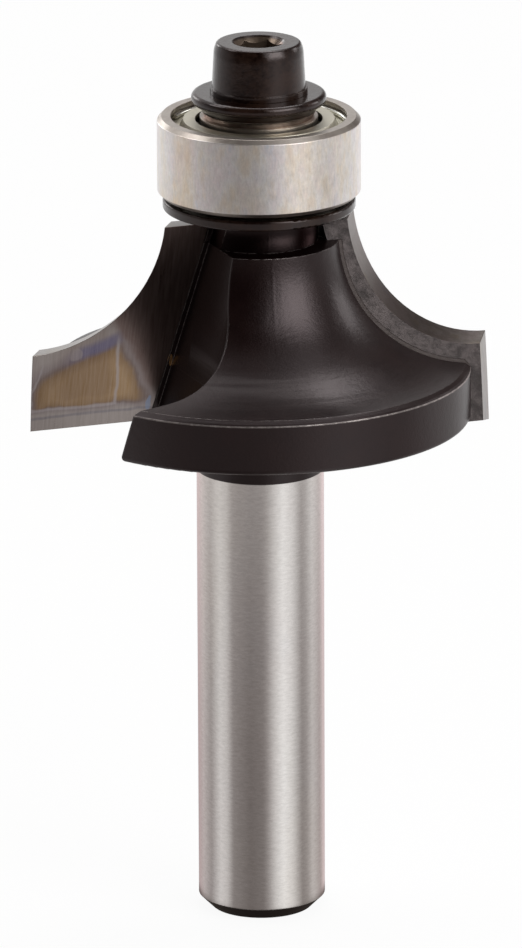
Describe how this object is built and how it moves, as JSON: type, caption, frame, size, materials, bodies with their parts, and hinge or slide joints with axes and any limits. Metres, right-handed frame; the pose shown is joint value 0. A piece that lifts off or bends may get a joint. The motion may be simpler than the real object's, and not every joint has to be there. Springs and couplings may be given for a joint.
{
  "type": "router bit",
  "caption": "Round-over router bit with brazed carbide tips on a coved body, a ball bearing guide held by a socket screw, and a round shank.",
  "frame": {"origin": "centre of the shank's end face", "axes": "+Z along the bit's axis from the shank to the guide bearing; the cutting faces run along X, and the bit cuts turning anticlockwise about +Z"},
  "size_m": [0.0286, 0.0264, 0.0564],
  "materials": {
    "coated_steel": "satin black coating on the cutter, bare ground steel on the shank",
    "carbide": "ground cemented carbide with heat tint",
    "braze": "dull braze metal",
    "black_oxide": "black oxide, slightly oily",
    "bearing_steel": "polished bearing steel, faintly stained",
    "shield_steel": "pressed sheet, dull",
    "cage_steel": "pressed strip"
  },
  "bodies": {
    "bit": {"cutter_body": "coated_steel", "carbide_tip_1": "carbide", "carbide_tip_2": "carbide", "braze_seam_1": "braze", "braze_seam_2": "braze", "lower_washer": "black_oxide", "bearing_inner_ring": "bearing_steel", "dust_collar": "black_oxide", "cap_screw": "black_oxide"},
    "guide": {"bearing_outer_ring": "bearing_steel", "bearing_shield_top": "shield_steel", "bearing_shield_bottom": "shield_steel", "shield_clip_top": "bearing_steel", "shield_clip_bottom": "bearing_steel"},
    "balls": {"bearing_cage": "cage_steel", "bearing_ball_1": "bearing_steel", "bearing_ball_2": "bearing_steel", "bearing_ball_3": "bearing_steel", "bearing_ball_4": "bearing_steel", "bearing_ball_5": "bearing_steel", "bearing_ball_6": "bearing_steel", "bearing_ball_7": "bearing_steel"}
  },
  "joints": [
    {"name": "guide_spin", "type": "hinge", "parent": "bit", "child": "guide", "pos_m": [0, 0, 0.0492], "axis": [0, 0, 1], "continuous": true},
    {"name": "ball_orbit", "type": "hinge", "parent": "bit", "child": "balls", "pos_m": [0, 0, 0.0492], "axis": [0, 0, 1], "continuous": true}
  ],
  "couplings": [
    {"joint": "ball_orbit", "follows": "guide_spin", "ratio": 0.6363}
  ]
}
